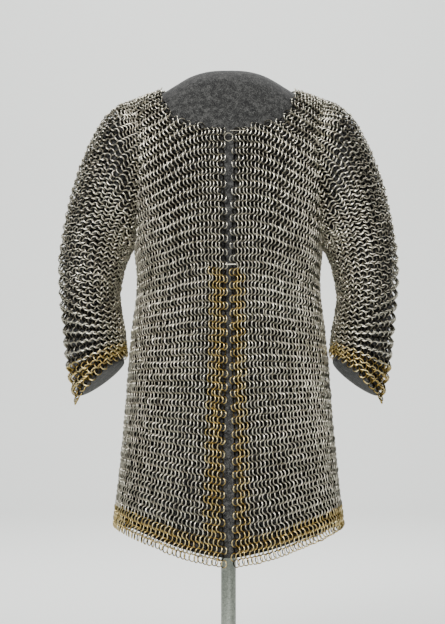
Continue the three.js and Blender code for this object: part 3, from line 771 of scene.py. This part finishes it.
# %% Zinc-grey steel
def zinc_steel():
    """Steel tube with a dull zinc coat: satin, with a fine grey-green speckle."""
    material, tree, shader = new_material("zinc_coated_steel")
    mm = place_in_mm(tree)
    speckle = add_node(tree, "ShaderNodeTexNoise", inputs={"Scale": 1 / 3, "Detail": 4, "Roughness": 0.75},
                       links={"Vector": mm})
    colour = ramp(tree, speckle.outputs["Fac"], [(0.3, "#7f857b"), (0.5, "#a3a99f"), (0.7, "#c5cabf")])
    tree.links.new(colour, shader.inputs["Base Color"])
    shader.inputs["Metallic"].default_value = 0.8
    shader.inputs["Roughness"].default_value = 0.45
    return material


steel = zinc_steel()


def finished(node, material):
    """Gives a CAD node its finish."""
    data = frame["nodes"][node].data
    data.materials.clear()
    data.materials.append(material)


for node in ("pole", "pole_socket", "form_flange", "base_plate"):
    finished(node, steel)
link_wire = bright_wire()
for node in ("closing_ring", "neck_link", "slit_link"):
    finished(node, link_wire)

bpy.data.objects.remove(ring_source)

# %% [markdown]
# ## Floor and light
# A sheet of pale paper runs along the floor and curves up far behind, so there is no horizon. A strong
# soft light to the upper left of the camera gives each ring one bright line, a weaker one on the right
# fills, and a third lights the paper. The room itself is dark, which keeps the gaps in the mail dark.

# %% Paper sweep
PAPER_HALF_WIDTH = 4        # the paper's sizes are in metres
PAPER_FRONT = -4
PAPER_BEND = 4              # where it starts to curve up
PAPER_CURVE = 1.2
PAPER_RISE = 3              # straight up after the curve


def paper():
    """Matt background paper, pale grey."""
    material, _, shader = new_material("background_paper")
    shader.inputs["Base Color"].default_value = linear("#dfe1de")
    shader.inputs["Roughness"].default_value = 0.9
    return material


def sweep():
    """The paper: flat on the floor, then a quarter turn, then straight up."""
    bm = bmesh.new()
    front = [bm.verts.new((x, PAPER_FRONT, 0)) for x in (-PAPER_HALF_WIDTH, PAPER_HALF_WIDTH)]
    bm.edges.new(front)
    bmesh.ops.extrude_edge_only(bm, edges=bm.edges[:])
    bm.verts.ensure_lookup_table()
    bmesh.ops.translate(bm, verts=bm.verts[2:], vec=(0, PAPER_BEND - PAPER_FRONT, 0))
    last = [e for e in bm.edges if all(v.co.y > PAPER_BEND - MM for v in e.verts)]
    bmesh.ops.spin(bm, geom=last + list({v for e in last for v in e.verts}),
                   cent=(0, PAPER_BEND, PAPER_CURVE), axis=(1, 0, 0), angle=math.pi / 2,
                   steps=24, use_merge=False)
    top = max(v.co.z for v in bm.verts)
    last = [e for e in bm.edges if all(v.co.z > top - MM for v in e.verts)]
    grown = bmesh.ops.extrude_edge_only(bm, edges=last)["geom"]
    raised = [g for g in grown if isinstance(g, bmesh.types.BMVert)]
    bmesh.ops.translate(bm, verts=raised, vec=(0, 0, PAPER_RISE))
    for face in bm.faces:
        face.smooth = True
    mesh = bpy.data.meshes.new("paper_sweep")
    bm.to_mesh(mesh)
    bm.free()
    mesh.materials.append(paper())
    new_object("paper_sweep", mesh)


sweep()


# %% Lights
def soft_light(name, place, target, size, power):
    """A square soft light that faces its target."""
    data = bpy.data.lights.new(name, "AREA")
    data.shape = "SQUARE"
    data.size = size
    data.energy = power
    light = new_object(name, data)
    light.location = place
    light.rotation_euler = (Vector(target) - Vector(place)).to_track_quat("-Z", "Y").to_euler()


SHIRT_MIDDLE = (0, 0, 0.7)
soft_light("key", (-1.0, -3.0, 2.4), SHIRT_MIDDLE, 0.7, 150)
soft_light("fill", (0.9, -3.3, 1.3), SHIRT_MIDDLE, 0.7, 32)
soft_light("back_light", (0, 1.6, 3.4), (0, 4.4, 0.5), 2.5, 330)
world = bpy.data.worlds.new("room")
world.use_nodes = True
world.node_tree.nodes["Background"].inputs["Color"].default_value = linear("#e8eaee")
world.node_tree.nodes["Background"].inputs["Strength"].default_value = 0.07
scene.world = world
